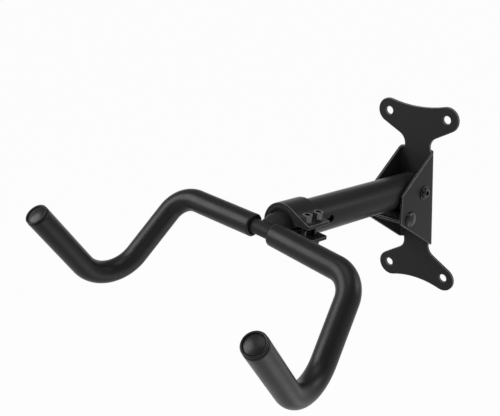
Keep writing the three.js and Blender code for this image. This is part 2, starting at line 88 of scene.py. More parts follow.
SAME_POINT = 2e-6                   # points nearer than this are one
SHARP = math.radians(28)            # an edge that turns more than this gets rounded
THREAD_SHARP = math.radians(34)     # and on a thread, an edge that turns more than this stays crisp


# ---- sizes and colours that a user would change ----

def length(name, description, default):
    return FloatProperty(name=name, description=description, default=default, unit="LENGTH", precision=5)


def turn(name, description, degrees):
    return FloatProperty(name=name, description=description, default=math.radians(degrees),
                         subtype="ANGLE")


def power(name, description, default):
    return FloatProperty(name=name, description=description, default=default, unit="POWER")


def colour(name, description, default):
    return FloatVectorProperty(name=name, description=description, default=default, size=3,
                               subtype="COLOR", min=0.0, max=1.0)


def place(name, description, default):
    return FloatVectorProperty(name=name, description=description, default=default, size=3,
                               subtype="XYZ_LENGTH", unit="LENGTH", precision=5)


class RackHookSizes(bpy.types.PropertyGroup):
    tilt: turn("Tilt", "Turn of the hook about the arm, out of level", 6.57)
    bar_radius: length("Bar radius", "Outside radius of the bent bar", 8 * MM)
    bar_wall: length("Bar wall", "Wall of the bent bar", 1.5 * MM)
    crossbar_half: place("Crossbar half", "Right shoulder, from the middle of the crossbar",
                         (122.6 * MM, -3.9 * MM, -2.6 * MM))
    low: place("Lowest corner", "Right hook's lowest corner", (145.6 * MM, -82.5 * MM, -111.4 * MM))
    tip: place("Tip", "Outside of the right end plug", (152.7 * MM, -174.7 * MM, -2.6 * MM))
    crossbar_bow: length("Crossbar bow", "Bend radius at the middle of the crossbar", 300 * MM)
    shoulder_radius: length("Shoulder radius", "Bend radius at each shoulder", 30 * MM)
    hook_radius: length("Hook radius", "Bend radius at each hook's lowest corner", 42 * MM)
    foam_radius: length("Foam radius", "Outside radius of the foam sleeves", 12.5 * MM)
    foam_gap: length("Foam gap", "Between the foam and the bar", 0.3 * MM)
    foam_start_left: length("Left foam start", "Left foam's inner end from the middle", 14.3 * MM)
    foam_start_right: length("Right foam start", "Right foam's inner end from the middle", 12.9 * MM)
    foam_round_left: length("Left foam edge", "Rounding of the left foam's inner edge", 0.9 * MM)
    foam_round_right: length("Right foam edge", "Rounding of the right foam's inner edge", 3.0 * MM)
    plug_length: length("Plug length", "Plug head, from the bar's end to the tip", 2.75 * MM)
    foam_setback: length("Foam setback", "From the bar's end back to the foam's", 0.2 * MM)


class RackEdgeSizes(bpy.types.PropertyGroup):
    sheet: length("Sheet edge", "Rounding of cut sheet edges", 0.7 * MM)
    tube: length("Tube edge", "Rounding of tube ends", 0.2 * MM)
    collar: length("Collar edge", "Rounding of the clamp collar's edges", 0.4 * MM)
    roller: length("Roller edge", "Rounding of the rest bumper's ends", 0.8 * MM)
    small: length("Small edge", "Rounding of washers, sleeves and nuts", 0.18 * MM)
    steps: IntProperty(name="Edge steps", description="Faces across a rounded edge", default=3, min=1, max=6)
    seam_radius: length("Seam radius", "Radius of a weld seam", 0.95 * MM)
    seam_ripple: length("Seam ripple", "Spacing of the ripples in a weld seam", 1.5 * MM)


class RackFastenerSizes(bpy.types.PropertyGroup):
    bracket_radius: length("Bracket bolt radius", "Shank radius of the bracket's bolts", 4 * MM)
    bracket_pitch: length("Bracket pitch", "Thread pitch of the bracket's bolts", 1.25 * MM)
    bracket_thread: length("Bracket thread", "Threaded length of the bracket's bolts", 18 * MM)
    pivot_head: length("Pivot head", "Height of the pivot bolt's head", 5 * MM)
    rest_head: length("Rest head", "Height of the rest bolt's head", 4.4 * MM)
    clamp_radius: length("Clamp bolt radius", "Shank radius of the clamp's bolts", 3 * MM)
    clamp_pitch: length("Clamp pitch", "Thread pitch of the clamp's bolts", 1.0 * MM)
    clamp_thread: length("Clamp thread", "Threaded length of the clamp's bolts", 16 * MM)
    clamp_head: length("Clamp head", "Height of the clamp bolts' heads", 4 * MM)
    bracket_ring: length("Bracket ring", "Outside radius of a bracket nut's lock ring", 4.65 * MM)
    bracket_bore: length("Bracket ring bore", "Bore radius of a bracket nut's lock ring", 4.12 * MM)
    clamp_ring: length("Clamp ring", "Outside radius of a clamp nut's lock ring", 3.58 * MM)
    clamp_bore: length("Clamp ring bore", "Bore radius of a clamp nut's lock ring", 3.1 * MM)
    ring_depth: length("Ring depth", "Thickness of a lock ring", 0.7 * MM)


class RackFinishes(bpy.types.PropertyGroup):
    coat: colour("Powder coat", "Satin black coat on the steel", (0.017, 0.017, 0.0174))
    # Painted highlight: a paler coat laid on the rounded edges of the bracket, the brace and the collar, in
    # place of their bright edge highlights.
    edge_highlight_paint: colour("Painted edge highlight", "Coat pulled thin over cut edges of sheet", (0.11, 0.11, 0.113))
    zinc: colour("Bolt zinc", "Plating on the bolts and the pivot sleeve", (0.022, 0.022, 0.023))
    # Paler than the bolts' zinc: the nuts' and washers' real plating with a painted highlight laid into its
    # colour.
    nut_zinc_with_painted_highlight: colour("Nut zinc with painted highlight", "Plating on the nuts and the clamp's washers", (0.075, 0.075, 0.077))
    nylon: colour("Nylon", "Bush, pivot washers and lock rings", (0.006, 0.006, 0.0062))
    rubber: colour("Rubber", "Rest bumper", (0.006, 0.006, 0.006))
    foam: colour("Foam", "Closed-cell sleeves", (0.010, 0.010, 0.0102))
    plug: colour("Plug", "Moulded end plugs", (0.010, 0.010, 0.0102))
    floor: colour("Floor", "Studio floor", (0.86, 0.86, 0.86))
    ceiling: colour("Ceiling", "Studio above the horizon", (0.27, 0.27, 0.27))


class RackStageSizes(bpy.types.PropertyGroup):
    camera_place: place("Camera", "Camera place", (0.57043, -0.87133, 0.41068))
    camera_azimuth: turn("Azimuth", "Camera's way round from the front, to the right", 45.03)
    camera_elevation: turn("Elevation", "Camera's view from above the horizon", 22.14)
    camera_roll: turn("Roll", "Camera's turn about its view", -3.62)
    camera_lens: FloatProperty(name="Lens", description="Focal length in millimetres", default=62.37,
                               subtype="DISTANCE_CAMERA")
    camera_film: FloatProperty(name="Film width", description="Width of the camera's film in millimetres",
                               default=36.0, subtype="DISTANCE_CAMERA")
    floor_drop: length("Floor drop", "Floor below the rack", 1.3)
    floor_half: length("Floor half", "Half the floor's width", 15.0)
    key_watts: power("Key light", "Power of the large softbox at the left front", 28.0)
    fill_watts: power("Fill light", "Power of the softbox low on the right", 5.0)
    side_watts: power("Side light", "Power of the softbox at the right rear", 5.5)
    top_watts: power("Top light", "Power of the overhead softbox", 5.0)


def sizes(name):
    return getattr(bpy.context.scene, name)


# ---- node trees ----

class Nodes:
    """A node tree, with short calls for its nodes and links."""

    def __init__(self, tree):
        self.tree = tree

    def feed(self, socket, value):
        """Links another node's socket to this one, or sets it to a plain value."""
        if isinstance(value, bpy.types.NodeSocket):
            self.tree.links.new(value, socket)
        else:
            socket.default_value = value

    def node(self, kind, settings=(), **inputs):
        made = self.tree.nodes.new(kind)
        for key, value in dict(settings).items():
            setattr(made, key, value)
        for key, value in inputs.items():
            self.feed(made.inputs[key.replace("_", " ")], value)
        return made

    def math(self, operation, *values):
        made = self.node("ShaderNodeMath", {"operation": operation})
        for socket, value in zip(made.inputs, values):
            self.feed(socket, value)
        return made.outputs["Value"]


class Shader(Nodes):
    """A material's tree, with its patterns on Object coordinates."""

    def __init__(self, name):
        self.material = bpy.data.materials.new(name)
        self.material.use_nodes = True
        super().__init__(self.material.node_tree)
        self.tree.nodes.clear()
        self.output = self.node("ShaderNodeOutputMaterial")
        self.coordinates = self.node("ShaderNodeTexCoord").outputs["Object"]

    def noise(self, scale, detail=3.0, roughness=0.5):
        return self.node("ShaderNodeTexNoise", Vector=self.coordinates, Scale=scale, Detail=detail,
                         Roughness=roughness).outputs["Fac"]

    def cells(self, scale):
        return self.node("ShaderNodeTexVoronoi", {"feature": "F1"}, Vector=self.coordinates,
                         Scale=scale).outputs["Distance"]

    def ranged(self, value, low, high, start=0.3, end=0.7):
        """Maps start to end of the value on low to high."""
        return self.node("ShaderNodeMapRange", Value=value, From_Min=start, From_Max=end, To_Min=low,
                         To_Max=high).outputs["Result"]

    def shaded(self, value, dark, pale):
        return self.node("ShaderNodeMix", {"data_type": "RGBA"}, Factor=value, A=(*dark, 1),
                         B=(*pale, 1)).outputs["Result"]

    def bump(self, height, distance, strength, under=None):
        made = self.node("ShaderNodeBump", Height=height, Distance=distance, Strength=strength)
        if under:
            self.feed(made.inputs["Normal"], under)
        return made.outputs["Normal"]

    def surface(self, shader):
        self.feed(self.output.inputs["Surface"], shader)
        return self.material

    def principled(self, **inputs):
        return self.surface(self.node("ShaderNodeBsdfPrincipled", **inputs).outputs["BSDF"])


# ---- finishes ----

def scaled(base, factor):
    return tuple(min(1.0, channel * factor) for channel in base)


def powder_coat(name, base, rough=0.27, level=0.07):
    """Satin coat: fine orange peel, a faint sparkle of grain and slightly uneven gloss."""
    peel_scale, peel_depth = 700, 0.16 * MM
    grain_scale, grain_depth = 3200, 0.04 * MM
    patch_scale, patch_gloss = 30, 0.05
    shader = Shader(name)
    peel = shader.noise(peel_scale, 2.0)
    grain = shader.noise(grain_scale, 2.0)
    normal = shader.bump(peel, peel_depth, 0.22, shader.bump(grain, grain_depth, 0.20))
    gloss = shader.ranged(shader.noise(patch_scale), rough, rough + patch_gloss)
    tint = shader.shaded(grain, scaled(base, 0.8), scaled(base, 1.25))
    return shader.principled(Base_Color=tint, Roughness=gloss, Normal=normal, Specular_IOR_Level=level)


def black_zinc(name, base):
    """Thin black plating over steel, a little worn towards grey in fine streaks."""
    wear_scale, wear_start, wear_end = 420, 0.45, 0.75
    grain_scale, grain_depth = 2600, 0.04 * MM
    shader = Shader(name)
    wear = shader.noise(wear_scale, 5.0, 0.65)
    tint = shader.shaded(shader.ranged(wear, 0.0, 1.0, wear_start, wear_end), base, scaled(base, 1.5))
    gloss = shader.ranged(wear, 0.24, 0.33)
    normal = shader.bump(shader.noise(grain_scale, 2.0), grain_depth, 0.25)
    return shader.principled(Base_Color=tint, Roughness=gloss, Normal=normal, Metallic=0.85)


def moulded(name, base, rough, level, grain_scale, grain_depth):
    """A moulded surface with a fine cast grain; nylon, rubber and the end plugs differ in gloss."""
    patch_scale = 60
    shader = Shader(name)
    grain = shader.noise(grain_scale)
    tint = shader.shaded(shader.noise(patch_scale, 2.0), scaled(base, 0.85), scaled(base, 1.2))
    gloss = shader.ranged(grain, rough - 0.03, rough + 0.05)
    normal = shader.bump(grain, grain_depth, 0.35)
    return shader.principled(Base_Color=tint, Roughness=gloss, Normal=normal, Specular_IOR_Level=level)


def closed_cell_foam(name, base):
    """Extruded foam: a soft skin with fine open pores over slow, shallow unevenness."""
    pore_scale, pore_depth, pore_start, pore_end = 1500, 0.10 * MM, 0.08, 0.5
    grain_scale, grain_depth = 1900, 0.06 * MM
    slow_scale, slow_depth = 55, 0.6 * MM
    shader = Shader(name)
    slow = shader.noise(slow_scale)
    grain = shader.noise(grain_scale, 3.0, 0.6)
    pits = shader.ranged(shader.cells(pore_scale), 0.0, 1.0, pore_start, pore_end)
    grained = shader.bump(grain, grain_depth, 0.20)
    pitted = shader.bump(pits, pore_depth, 0.20, grained)
    normal = shader.bump(slow, slow_depth, 0.25, pitted)
    # The pores are painted darker than the skin round them: painted shade in the pits.
    tint = shader.shaded(pits, scaled(base, 0.72), scaled(base, 1.12))
    gloss = shader.ranged(slow, 0.32, 0.38)
    return shader.principled(Base_Color=tint, Roughness=gloss, Normal=normal, Specular_IOR_Level=0.15)


@functools.cache
def finishes():
    """The finishes by name, made once."""
    tones = sizes("rack_finishes")
    return {
        "powder_coat": powder_coat("satin_powder_coat", tuple(tones.coat)),
        # The paler edge coat: a painted highlight along rounded edges.
        "edge_highlight_paint": powder_coat("thin_coat_on_cut_edges", tuple(tones.edge_highlight_paint)),
        "matt_coat": powder_coat("matt_powder_coat", tuple(tones.coat), rough=0.40, level=0.05),
        "black_zinc": black_zinc("black_zinc_on_bolts", tuple(tones.zinc)),
        # Paler zinc on the nuts and washers: their plating with a painted highlight.
        "nut_zinc_with_painted_highlight": black_zinc("black_zinc_on_nuts", tuple(tones.nut_zinc_with_painted_highlight)),
        "nylon": moulded("moulded_nylon", tuple(tones.nylon), rough=0.50, level=0.12,
                         grain_scale=1800, grain_depth=0.05 * MM),
        "rubber": moulded("moulded_rubber", tuple(tones.rubber), rough=0.70, level=0.12,
                          grain_scale=1400, grain_depth=0.08 * MM),
        "plastic": moulded("moulded_plug", tuple(tones.plug), rough=0.30, level=0.17,
                           grain_scale=1500, grain_depth=0.02 * MM),
        "foam": closed_cell_foam("closed_cell_foam", tuple(tones.foam)),
    }


# ---- pieces ----

def new_piece(name, mesh, finish):
    piece = bpy.data.objects.new(name, mesh)
    bpy.context.scene.collection.objects.link(piece)
    mesh.materials.clear()
    mesh.materials.append(finishes()[finish])
    return piece


def seated(piece, slot, body, *nodes):
    """Puts the piece under its body and hides the CAD nodes that it stands for; the slot is not used."""
    if not piece.data.polygons:
        raise RuntimeError(f"{piece.name} has no faces")
    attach(piece, body)
    if nodes:
        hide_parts(*nodes)
    return piece


def baked(piece):
    """Turns the piece, modifiers included, into a plain mesh with no modifiers."""
    bpy.context.view_layer.update()
    graph = bpy.context.evaluated_depsgraph_get()
    mesh = bpy.data.meshes.new_from_object(piece.evaluated_get(graph), depsgraph=graph)
    name = piece.name
    made = bpy.data.objects.new(name + "_made", mesh)
    bpy.context.scene.collection.objects.link(made)
    bpy.data.objects.remove(piece)
    made.name = name
    return made


def smooth_mesh(name, bm):
    """Ends the bmesh as a mesh of smooth faces."""
    for face in bm.faces:
        face.smooth = True
    mesh = bpy.data.meshes.new(name)
    bm.to_mesh(mesh)
    bm.free()
    return mesh


def merged_copy(node):
    """The CAD node's mesh with its loose triangles joined and its flat regions cleared."""
    flat = math.radians(0.4)
    bm = bmesh.new()
    bm.from_mesh(NODES[node].data)
    bmesh.ops.remove_doubles(bm, verts=bm.verts, dist=SAME_POINT)
    bmesh.ops.dissolve_limit(bm, angle_limit=flat, verts=bm.verts, edges=bm.edges)
    return bm


def cut_across(bm, spot, normal, **settings):
    """Cuts every face on the plane through the spot."""
    bmesh.ops.bisect_plane(bm, geom=bm.verts[:] + bm.edges[:] + bm.faces[:], plane_co=spot,
                           plane_no=normal, **settings)


def slice_across_arm(bm, slices):
    """Cuts long facets across the arm's axis, so that each holds a few well-shaped faces."""
    reach = [ARM_AXIS.dot(vertex.co) for vertex in bm.verts]
    low, high = min(reach), max(reach)
    for i in range(1, slices):
        cut_across(bm, ARM_AXIS * (low + (high - low) * i / slices), ARM_AXIS)


def weigh_outer_edges(bm):
    """Marks the outward edges for rounding; hollow ones, and those in a narrow corner, stay sharp."""
    narrow = math.radians(15)
    weight = bm.edges.layers.float.new("bevel_weight_edge")
    steep = [edge for edge in bm.edges if edge.calc_face_angle(0.0) > SHARP]
    hollow = {edge for edge in steep if not edge.is_convex}
    for edge in steep:
        beside = [(edge.other_vert(vertex).co - vertex.co, other.other_vert(vertex).co - vertex.co)
                  for vertex in edge.verts for other in vertex.link_edges
                  if other in hollow and other != edge]
        if edge in hollow or any(run.angle(near) < narrow for run, near in beside):
            edge.smooth = False
        else:
            edge[weight] = 1.0


def add_bevel(piece, width, segments):
    bevel = piece.modifiers.new("edges", "BEVEL")
    bevel.width = width
    bevel.segments = segments
    bevel.limit_method = "ANGLE"
    bevel.angle_limit = SHARP
    bevel.use_clamp_overlap = False
    flat = piece.modifiers.new("flat_faces", "WEIGHTED_NORMAL")
    flat.weight = 90
    flat.keep_sharp = True
    return bevel


def finished(node, name, slot, body, edge, paints_edge_highlight=False, outer_only=False, finish=None, slices=1):
    """A fine copy of a CAD node with rounded edges, which stands for it; it can give the rounded edges a
    paler coat, which is a painted highlight.
    """
    bm = merged_copy(node)
    slice_across_arm(bm, slices)
    if outer_only:
        weigh_outer_edges(bm)
    piece = new_piece(name, smooth_mesh(name, bm), finish or slot)
    bevel = add_bevel(piece, edge, sizes("rack_edges").steps)
    if outer_only:
        bevel.limit_method = "WEIGHT"
    # The rounded edges get the paler coat, which is a painted highlight.
    if paints_edge_highlight:
        piece.data.materials.append(finishes()["edge_highlight_paint"])
        bevel.material = 1
    return seated(baked(piece), slot, body, node)


def shade_round(piece, radius):
    """Gives the facets that stand on a cylinder about the arm's axis that cylinder's own normals."""
    tolerance = 0.06 * MM
    mesh = piece.data
    spokes = []
    for vertex in mesh.vertices:
        offset = vertex.co - HOOK_ORIGIN
        spokes.append(offset - ARM_AXIS * offset.dot(ARM_AXIS))
    normals = [corner.vector.copy() for corner in mesh.corner_normals]
    for face in mesh.polygons:
        if all(abs(spokes[i].length - radius) < tolerance for i in face.vertices):
            for loop in face.loop_indices:
                normals[loop] = spokes[mesh.loops[loop].vertex_index].normalized()
    mesh.normals_split_custom_set(normals)


def outer_radius(node):
    """Half the width of a node that is round about the arm's axis."""
    return -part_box(node)[0].x


def node_centre(node):
    low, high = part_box(node)
    return (low + high) / 2


def turned_mesh(name, profile, sides):
    """A turned body about Z from (radius, height) points whose ends lie on the axis or on each other."""
    on_axis = 1e-7
    bm = bmesh.new()
    rings = []
    for radius, height in profile:
        if radius < on_axis:
            rings.append([bm.verts.new((0, 0, height))])
        else:
            rings.append([bm.verts.new((radius * math.cos(2 * math.pi * i / sides),
                                        radius * math.sin(2 * math.pi * i / sides), height))
                          for i in range(sides)])
    for low, high in zip(rings, rings[1:]):
        for i in range(sides):
            j = (i + 1) % sides
            corners = [low[i % len(low)], low[j % len(low)], high[j % len(high)], high[i % len(high)]]
            bm.faces.new(list(dict.fromkeys(corners)))
    bmesh.ops.remove_doubles(bm, verts=bm.verts, dist=SAME_POINT)
    bmesh.ops.recalc_face_normals(bm, faces=bm.faces)
    return smooth_mesh(name, bm)


def arc_points(centre, radius, start, end, steps):
    """(radius, height) points of an arc in a turned profile; angles in degrees from outwards."""
    angles = [math.radians(start + (end - start) * i / steps) for i in range(steps + 1)]
    return [(centre[0] + radius * math.cos(a), centre[1] + radius * math.sin(a)) for a in angles]


def facing(direction):
    """The turn that takes +Z to the direction."""
    return Vector((0, 0, 1)).rotation_difference(direction).to_matrix().to_4x4()


# ---- the hook's lines ----

def hook_matrix():
    """The hook's own frame: its origin at the middle of the crossbar."""
    return (Matrix.Translation(HOOK_ORIGIN) @ Matrix.Rotation(-ARM_PITCH, 4, "X")
            @ Matrix.Rotation(sizes("rack_hook").tilt, 4, "Y"))


def mirrored(point, side):
    return Vector((side * point[0], point[1], point[2]))


def bent_line(corners, radii, step=math.radians(2.5)):
    """Points of a line whose inner corners are rounded, one radius for each."""
    points = [corners[0]]
    for before, corner, after, radius in zip(corners, corners[1:], corners[2:], radii):
        into = (corner - before).normalized()
        out = (after - corner).normalized()
        bend = into.angle(out)
        inward = (out - into * math.cos(bend)).normalized()
        start = corner - into * radius * math.tan(bend / 2)
        count = max(3, math.ceil(bend / step))
        for k in range(count + 1):
            angle = bend * k / count
            points.append(start + into * radius * math.sin(angle) + inward * radius * (1 - math.cos(angle)))
    return points + [corners[-1]]


def tip_direction(side):
    hook = sizes("rack_hook")
    return (mirrored(hook.tip, side) - mirrored(hook.low, side)).normalized()


def bar_end(side, setback):
    return mirrored(sizes("rack_hook").tip, side) - tip_direction(side) * setback


def bar_line():
    """The bar's middle line, from the left end to the right one."""
    hook = sizes("rack_hook")
    left, right = [[bar_end(side, hook.plug_length), mirrored(hook.low, side),
                    mirrored(hook.crossbar_half, side)] for side in SIDES.values()]
    radii = [hook.hook_radius, hook.shoulder_radius, hook.crossbar_bow]
    return bent_line(left + [Vector()] + right[::-1], radii + radii[1::-1])


def foam_line(side, start):
    """A foam sleeve's middle line, from its start beside the stub to the bar's end."""
    hook = sizes("rack_hook")
    shoulder = mirrored(hook.crossbar_half, side)
    inner = shoulder * (start / hook.crossbar_half[0])
    outer = bar_end(side, hook.plug_length + hook.foam_setback)
    return bent_line([inner, shoulder, mirrored(hook.low, side), outer],
                     [hook.shoulder_radius, hook.hook_radius])


def stub_seam_line():
    """The line where the stub's oval nose meets the bar, in the hook's frame."""
    hook = sizes("rack_hook")
    seam_lift = 0.15 * MM
    nose_end, half_width, half_height = 0.8 * MM, 10.3 * MM, 8.5 * MM
    flare = 0.22
    steps = 24
    around = hook.bar_radius + seam_lift
    top = math.acos(nose_end / around)
    points = []
    for rows, sign in ((range(-steps, steps + 1), 1), (range(steps, -steps - 1, -1), -1)):
        for k in rows:
            angle = top * k / steps
            back, height = around * math.cos(angle), around * math.sin(angle)
            wide = half_width + flare * (back - nose_end)
            x = wide * math.sqrt(max(0.0, 1 - (height / half_height) ** 2))
            points.append(Vector((sign * x, back, height)))
    return points


def line_curve(name, points, closed=False):
    """A curve object through the points of the hook's frame, its place in its data."""
    curve = bpy.data.curves.new(name, "CURVE")
    curve.dimensions = "3D"
    spline = curve.splines.new("POLY")
    spline.points.add(len(points) - 1)
    matrix = hook_matrix()
    for target, point in zip(spline.points, points):
        target.co = (*(matrix @ point), 1)
    spline.use_cyclic_u = closed
    piece = bpy.data.objects.new(name, curve)
    bpy.context.scene.collection.objects.link(piece)
    return piece


# ---- geometry trees ----

class Tree(Nodes):
    """A geometry node tree with named inputs, ending in Realize Instances and Set Material."""

    def __init__(self, name, takes_geometry=True, **inputs):
        super().__init__(bpy.data.node_groups.new(name, "GeometryNodeTree"))
        face = self.tree.interface
        if takes_geometry:
            face.new_socket("Geometry", in_out="INPUT", socket_type="NodeSocketGeometry")
        kinds = {float: "NodeSocketFloat", int: "NodeSocketInt"}
        for key, value in inputs.items():
            socket = face.new_socket(key.replace("_", " "), in_out="INPUT", socket_type=kinds[type(value)])
            socket.default_value = value
        face.new_socket("Material", in_out="INPUT", socket_type="NodeSocketMaterial")
        face.new_socket("Geometry", in_out="OUTPUT", socket_type="NodeSocketGeometry")
        self.given = self.node("NodeGroupInput").outputs

    def vector(self, operation, first, second):
        made = self.node("ShaderNodeVectorMath", {"operation": operation})
        other = made.inputs["Scale"] if operation == "SCALE" else made.inputs[1]
        self.feed(made.inputs[0], first)
        self.feed(other, second)
        return made.outputs["Vector"]

    def join_xyz(self, x=0.0, y=0.0, z=0.0):
        return self.node("ShaderNodeCombineXYZ", X=x, Y=y, Z=z).outputs["Vector"]

    def curve_length(self, curve):
        return self.node("GeometryNodeCurveLength", Curve=curve).outputs["Length"]

    def finish(self, geometry):
        whole = self.node("GeometryNodeRealizeInstances", Geometry=geometry).outputs["Geometry"]
        painted = self.node("GeometryNodeSetMaterial", Geometry=whole, Material=self.given["Material"])
        self.node("NodeGroupOutput", Geometry=painted.outputs["Geometry"])
        return self.tree

    def finish_smooth(self, geometry):
        return self.finish(self.node("GeometryNodeSetShadeSmooth", Geometry=geometry).outputs["Geometry"])


def sleeve_tree():
    """A sleeve or tube along a line: a rounded section, sampled round it and along the line."""
    made = Tree("sleeve_along_line", Outer_Radius=0.0125, Bore_Radius=0.0083, Edge=0.001,
                Step=0.0013, Sides=56)
    line = made.given["Geometry"]
    span = made.curve_length(line)
    wall = made.math("SUBTRACT", made.given["Outer Radius"], made.given["Bore Radius"])
    middle = made.math("MULTIPLY_ADD", wall, 0.5, made.given["Bore Radius"])
    section = made.node("GeometryNodeCurvePrimitiveQuadrilateral", {"mode": "RECTANGLE"},
                        Width=span, Height=wall).outputs["Curve"]
    section = made.node("GeometryNodeFilletCurve", {"mode": "POLY"}, Curve=section,
                        Radius=made.given["Edge"], Limit_Radius=True, Count=7).outputs["Curve"]
    seat = made.join_xyz(x=made.math("MULTIPLY", span, 0.5), y=middle)
    section = made.node("GeometryNodeTransform", Geometry=section, Translation=seat).outputs["Geometry"]
    around = made.math("DIVIDE", made.curve_length(section), made.given["Step"])
    grid = made.node("GeometryNodeMeshGrid", Size_X=1.0, Size_Y=1.0, Vertices_X=around,
                     Vertices_Y=made.math("ADD", made.given["Sides"], 1.0))
    share = made.node("ShaderNodeSeparateXYZ", Vector=grid.outputs["UV Map"])
    on_section = made.node("GeometryNodeSampleCurve", {"mode": "FACTOR", "data_type": "FLOAT_VECTOR"},
                           Curves=section, Factor=share.outputs["X"]).outputs["Position"]
    spot = made.node("ShaderNodeSeparateXYZ", Vector=on_section)
    on_line = made.node("GeometryNodeSampleCurve", {"mode": "LENGTH", "data_type": "FLOAT_VECTOR"},
                        Curves=line, Length=spot.outputs["X"])
    side = made.vector("CROSS_PRODUCT", on_line.outputs["Tangent"], on_line.outputs["Normal"])
    angle = made.math("MULTIPLY", share.outputs["Y"], 2 * math.pi)
    upward = made.vector("SCALE", on_line.outputs["Normal"], made.math("COSINE", angle))
    sideward = made.vector("SCALE", side, made.math("SINE", angle))
    spread = made.vector("SCALE", made.vector("ADD", upward, sideward), spot.outputs["Y"])
    moved = made.node("GeometryNodeSetPosition", Geometry=grid.outputs["Mesh"],
                      Position=made.vector("ADD", on_line.outputs["Position"], spread))
    closed = made.node("GeometryNodeMergeByDistance", Geometry=moved.outputs["Geometry"],
                       Distance=SAME_POINT)
    return made.finish_smooth(closed.outputs["Geometry"])


def seam_tree():
    """A weld seam along a line: a round bead that swells and shrinks in even ripples."""
    made = Tree("rippled_seam", Radius=0.001, Ripple=0.0015, Sides=10)
    rings_per_ripple, thinnest, swelling = 7.0, 0.76, 0.24
    step = made.math("DIVIDE", made.given["Ripple"], rings_per_ripple)
    beads = made.node("GeometryNodeResampleCurve", {"mode": "LENGTH"}, Curve=made.given["Geometry"],
                      Length=step).outputs["Curve"]
    along = made.node("GeometryNodeSplineParameter").outputs["Length"]
    phase = made.math("FRACT", made.math("DIVIDE", along, made.given["Ripple"]))
    swell = made.math("SINE", made.math("MULTIPLY", phase, math.pi))
    radius = made.math("MULTIPLY", made.given["Radius"],
                       made.math("MULTIPLY_ADD", swell, swelling, thinnest))
    sized = made.node("GeometryNodeSetCurveRadius", Curve=beads, Radius=radius).outputs["Curve"]
    ring = made.node("GeometryNodeCurvePrimitiveCircle", Resolution=made.given["Sides"], Radius=1.0)
    bead = made.node("GeometryNodeCurveToMesh", Curve=sized, Profile_Curve=ring.outputs["Curve"],
                     Fill_Caps=True, Scale=radius)
    return made.finish_smooth(bead.outputs["Mesh"])


def thread_tree():
    """A threaded shank up Z: the thread is a helical wave in the radius, with a chamfered end."""
    made = Tree("threaded_shank", takes_geometry=False, Radius=0.004, Length=0.05, Threaded=0.02,
                Pitch=0.00125, Sides=36)
    rings_per_pitch, groove_slope, chamfer_slope = 9.0, 1.15, 0.75
    rings = made.math("DIVIDE", made.given["Length"],
                      made.math("DIVIDE", made.given["Pitch"], rings_per_pitch))
    rod = made.node("GeometryNodeMeshCylinder", Vertices=made.given["Sides"], Side_Segments=rings,
                    Radius=made.given["Radius"], Depth=made.given["Length"])
    half = made.math("MULTIPLY", made.given["Length"], 0.5)
    lifted = made.node("GeometryNodeTransform", Geometry=rod.outputs["Mesh"],
                       Translation=made.join_xyz(z=half)).outputs["Geometry"]
    position = made.node("GeometryNodeInputPosition").outputs["Position"]
    spot = made.node("ShaderNodeSeparateXYZ", Vector=position).outputs
    angle = made.math("DIVIDE", made.math("ARCTAN2", spot["Y"], spot["X"]), 2 * math.pi)
    turns = made.math("DIVIDE", spot["Z"], made.given["Pitch"])
    wave = made.math("PINGPONG", made.math("SUBTRACT", turns, angle), 0.5)
    depth = made.math("MULTIPLY", made.given["Pitch"], made.math("MULTIPLY", wave, groove_slope))
    from_end = made.math("SUBTRACT", made.given["Length"], spot["Z"])
    threaded = made.math("LESS_THAN", from_end, made.given["Threaded"])
    chamfer = made.math("MAXIMUM", made.math("SUBTRACT", made.given["Pitch"], from_end), 0.0)
    inward = made.math("MAXIMUM", made.math("MULTIPLY", depth, threaded),
                       made.math("MULTIPLY", chamfer, chamfer_slope))
    share = made.math("DIVIDE", made.math("SUBTRACT", made.given["Radius"], inward), made.given["Radius"])
    narrowed = made.join_xyz(x=made.math("MULTIPLY", spot["X"], share),
                             y=made.math("MULTIPLY", spot["Y"], share), z=spot["Z"])
    moved = made.node("GeometryNodeSetPosition", Geometry=lifted, Position=narrowed)
    return made.finish(moved.outputs["Geometry"])


@functools.cache
def trees():
    """The geometry trees, made once."""
    return {"sleeve": sleeve_tree(), "seam": seam_tree(), "thread": thread_tree()}


def grown(piece, tree, finish, **inputs):
    """Runs a tree on the object and returns its result as a plain mesh piece."""
    modifier = piece.modifiers.new("shape", "NODES")
    modifier.node_group = trees()[tree]
    named = {key.replace("_", " "): value for key, value in inputs.items()}
    named["Material"] = finishes()[finish]
    for item in modifier.node_group.interface.items_tree:
        if item.item_type == "SOCKET" and item.in_out == "INPUT" and item.name in named:
            modifier[item.identifier] = named.pop(item.name)
    if named:
        raise ValueError(f"{tree} has no input named {sorted(named)}")
    made = baked(piece)
    bm = bmesh.new()
    bm.from_mesh(made.data)
    if bm.calc_volume(signed=True) < 0:
        bmesh.ops.reverse_faces(bm, faces=bm.faces)
    bm.to_mesh(made.data)
    bm.free()
    return made


# ---- fasteners ----

def joined(name, base, other):
    """Joins two solids into one closed body."""
    union = base.modifiers.new("join", "BOOLEAN")
    union.operation = "UNION"
    union.solver = "EXACT"
    union.object = other
    base.name = name
    made = baked(base)
    bpy.data.objects.remove(other)
    return made


